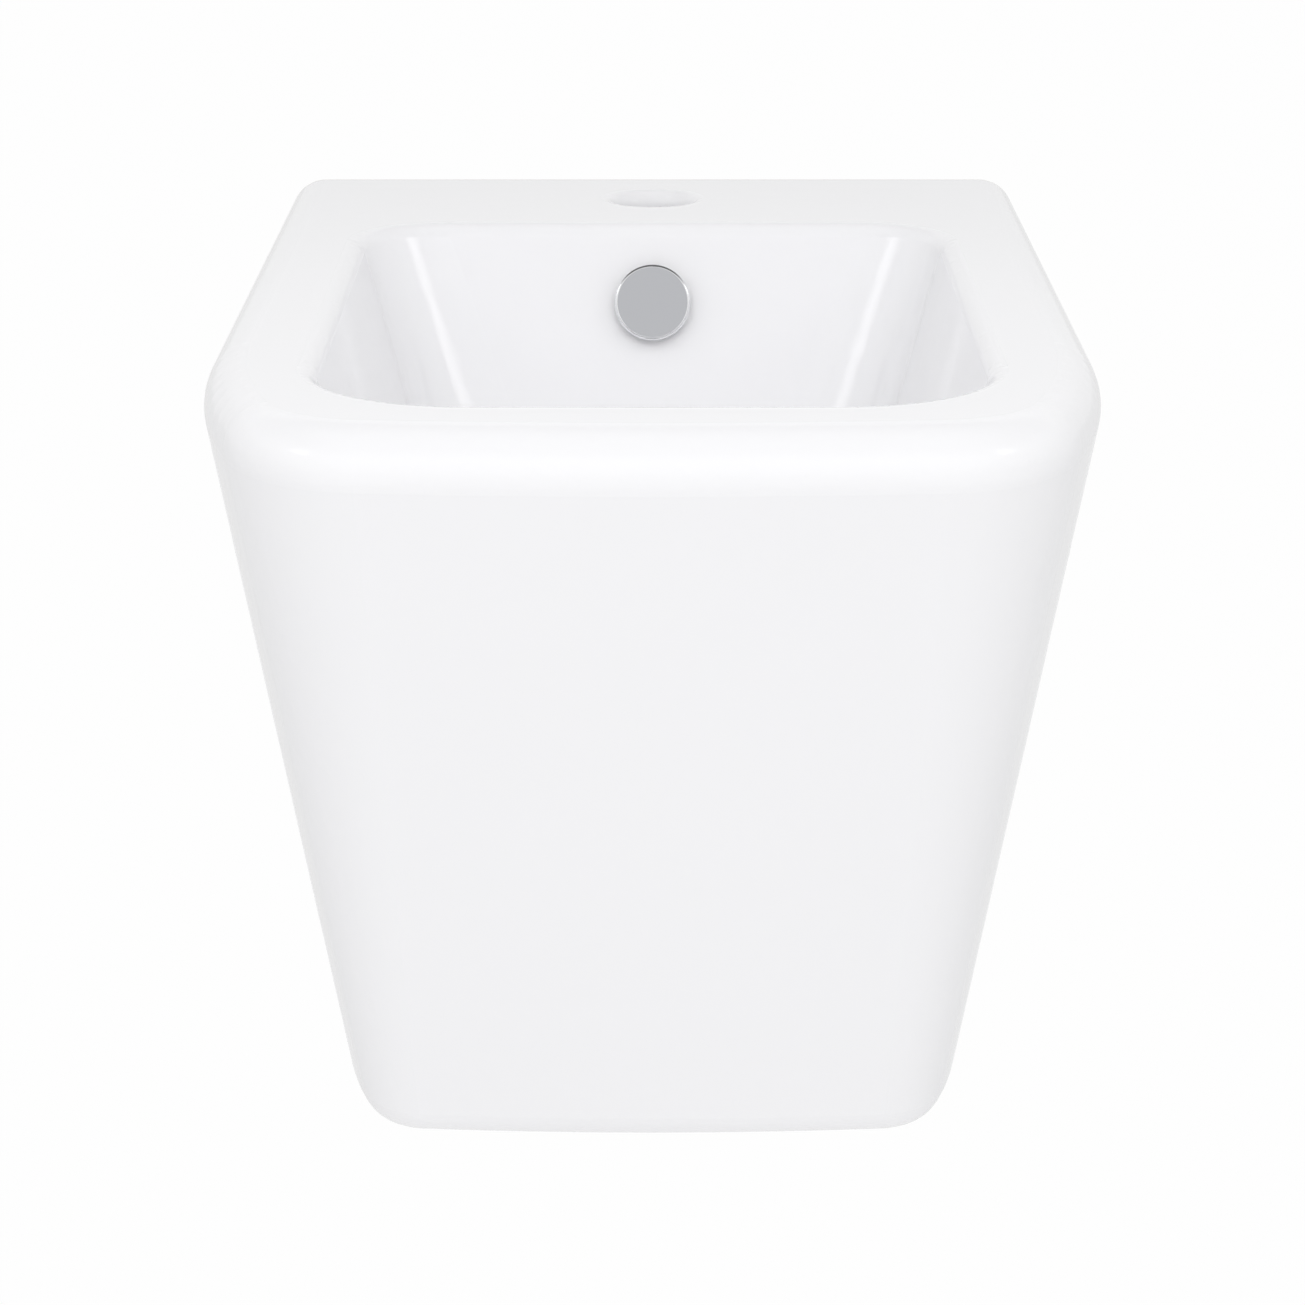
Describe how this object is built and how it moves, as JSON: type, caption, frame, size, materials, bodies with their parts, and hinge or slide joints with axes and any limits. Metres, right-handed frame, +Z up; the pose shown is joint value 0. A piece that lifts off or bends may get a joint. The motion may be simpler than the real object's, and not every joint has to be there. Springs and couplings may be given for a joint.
{
  "type": "wall-hung bidet",
  "caption": "Tapered ceramic wall-hung bidet with a soft square front, a deep basin, a tap hole, a round overflow cover and a push-to-close waste, fixed on wall studs.",
  "frame": {"origin": "on the wall plane, midway between the two wall fixing holes", "axes": "+Y into the wall, so the front faces -Y; +Z up; +X to the right of someone facing the wall"},
  "size_m": [0.3492, 0.512, 0.33],
  "materials": {
    "glazed_china": "glossy white glaze",
    "chrome_trim": "polished chrome plate",
    "chrome_waste": "chrome-plated brass",
    "brass_nut": "turned brass",
    "rubber_seal": "matt black rubber",
    "white_plastic": "moulded, satin",
    "slip_plastic": "moulded, satin",
    "zinc_steel": "zinc-plated"
  },
  "bodies": {
    "bidet": {"ceramic_body": "glazed_china", "overflow_cap": "chrome_trim", "overflow_sleeve": "white_plastic", "overflow_seal": "rubber_seal", "waste_body": "chrome_waste", "waste_top_seal": "rubber_seal", "waste_bottom_seal": "rubber_seal", "waste_slip_washer": "slip_plastic", "waste_back_nut": "brass_nut", "click_cartridge": "brass_nut", "cartridge_end_cap": "white_plastic", "cartridge_nut": "brass_nut", "click_spring": "zinc_steel", "fixing_bushes": "white_plastic", "fixing_washers": "zinc_steel", "fixing_nuts": "zinc_steel"},
    "plug": {"plug_cap": "chrome_trim", "plug_seal": "rubber_seal", "plug_pin": "brass_nut", "latch_ring": "white_plastic"}
  },
  "joints": [
    {"name": "plug_press", "type": "slide", "parent": "bidet", "child": "plug", "axis": [0, 0, 1], "range_m": [-0.008, 0], "stiffness_N_per_m": 600, "springref_m": 0.012, "deforming": ["click_spring"]}
  ]
}
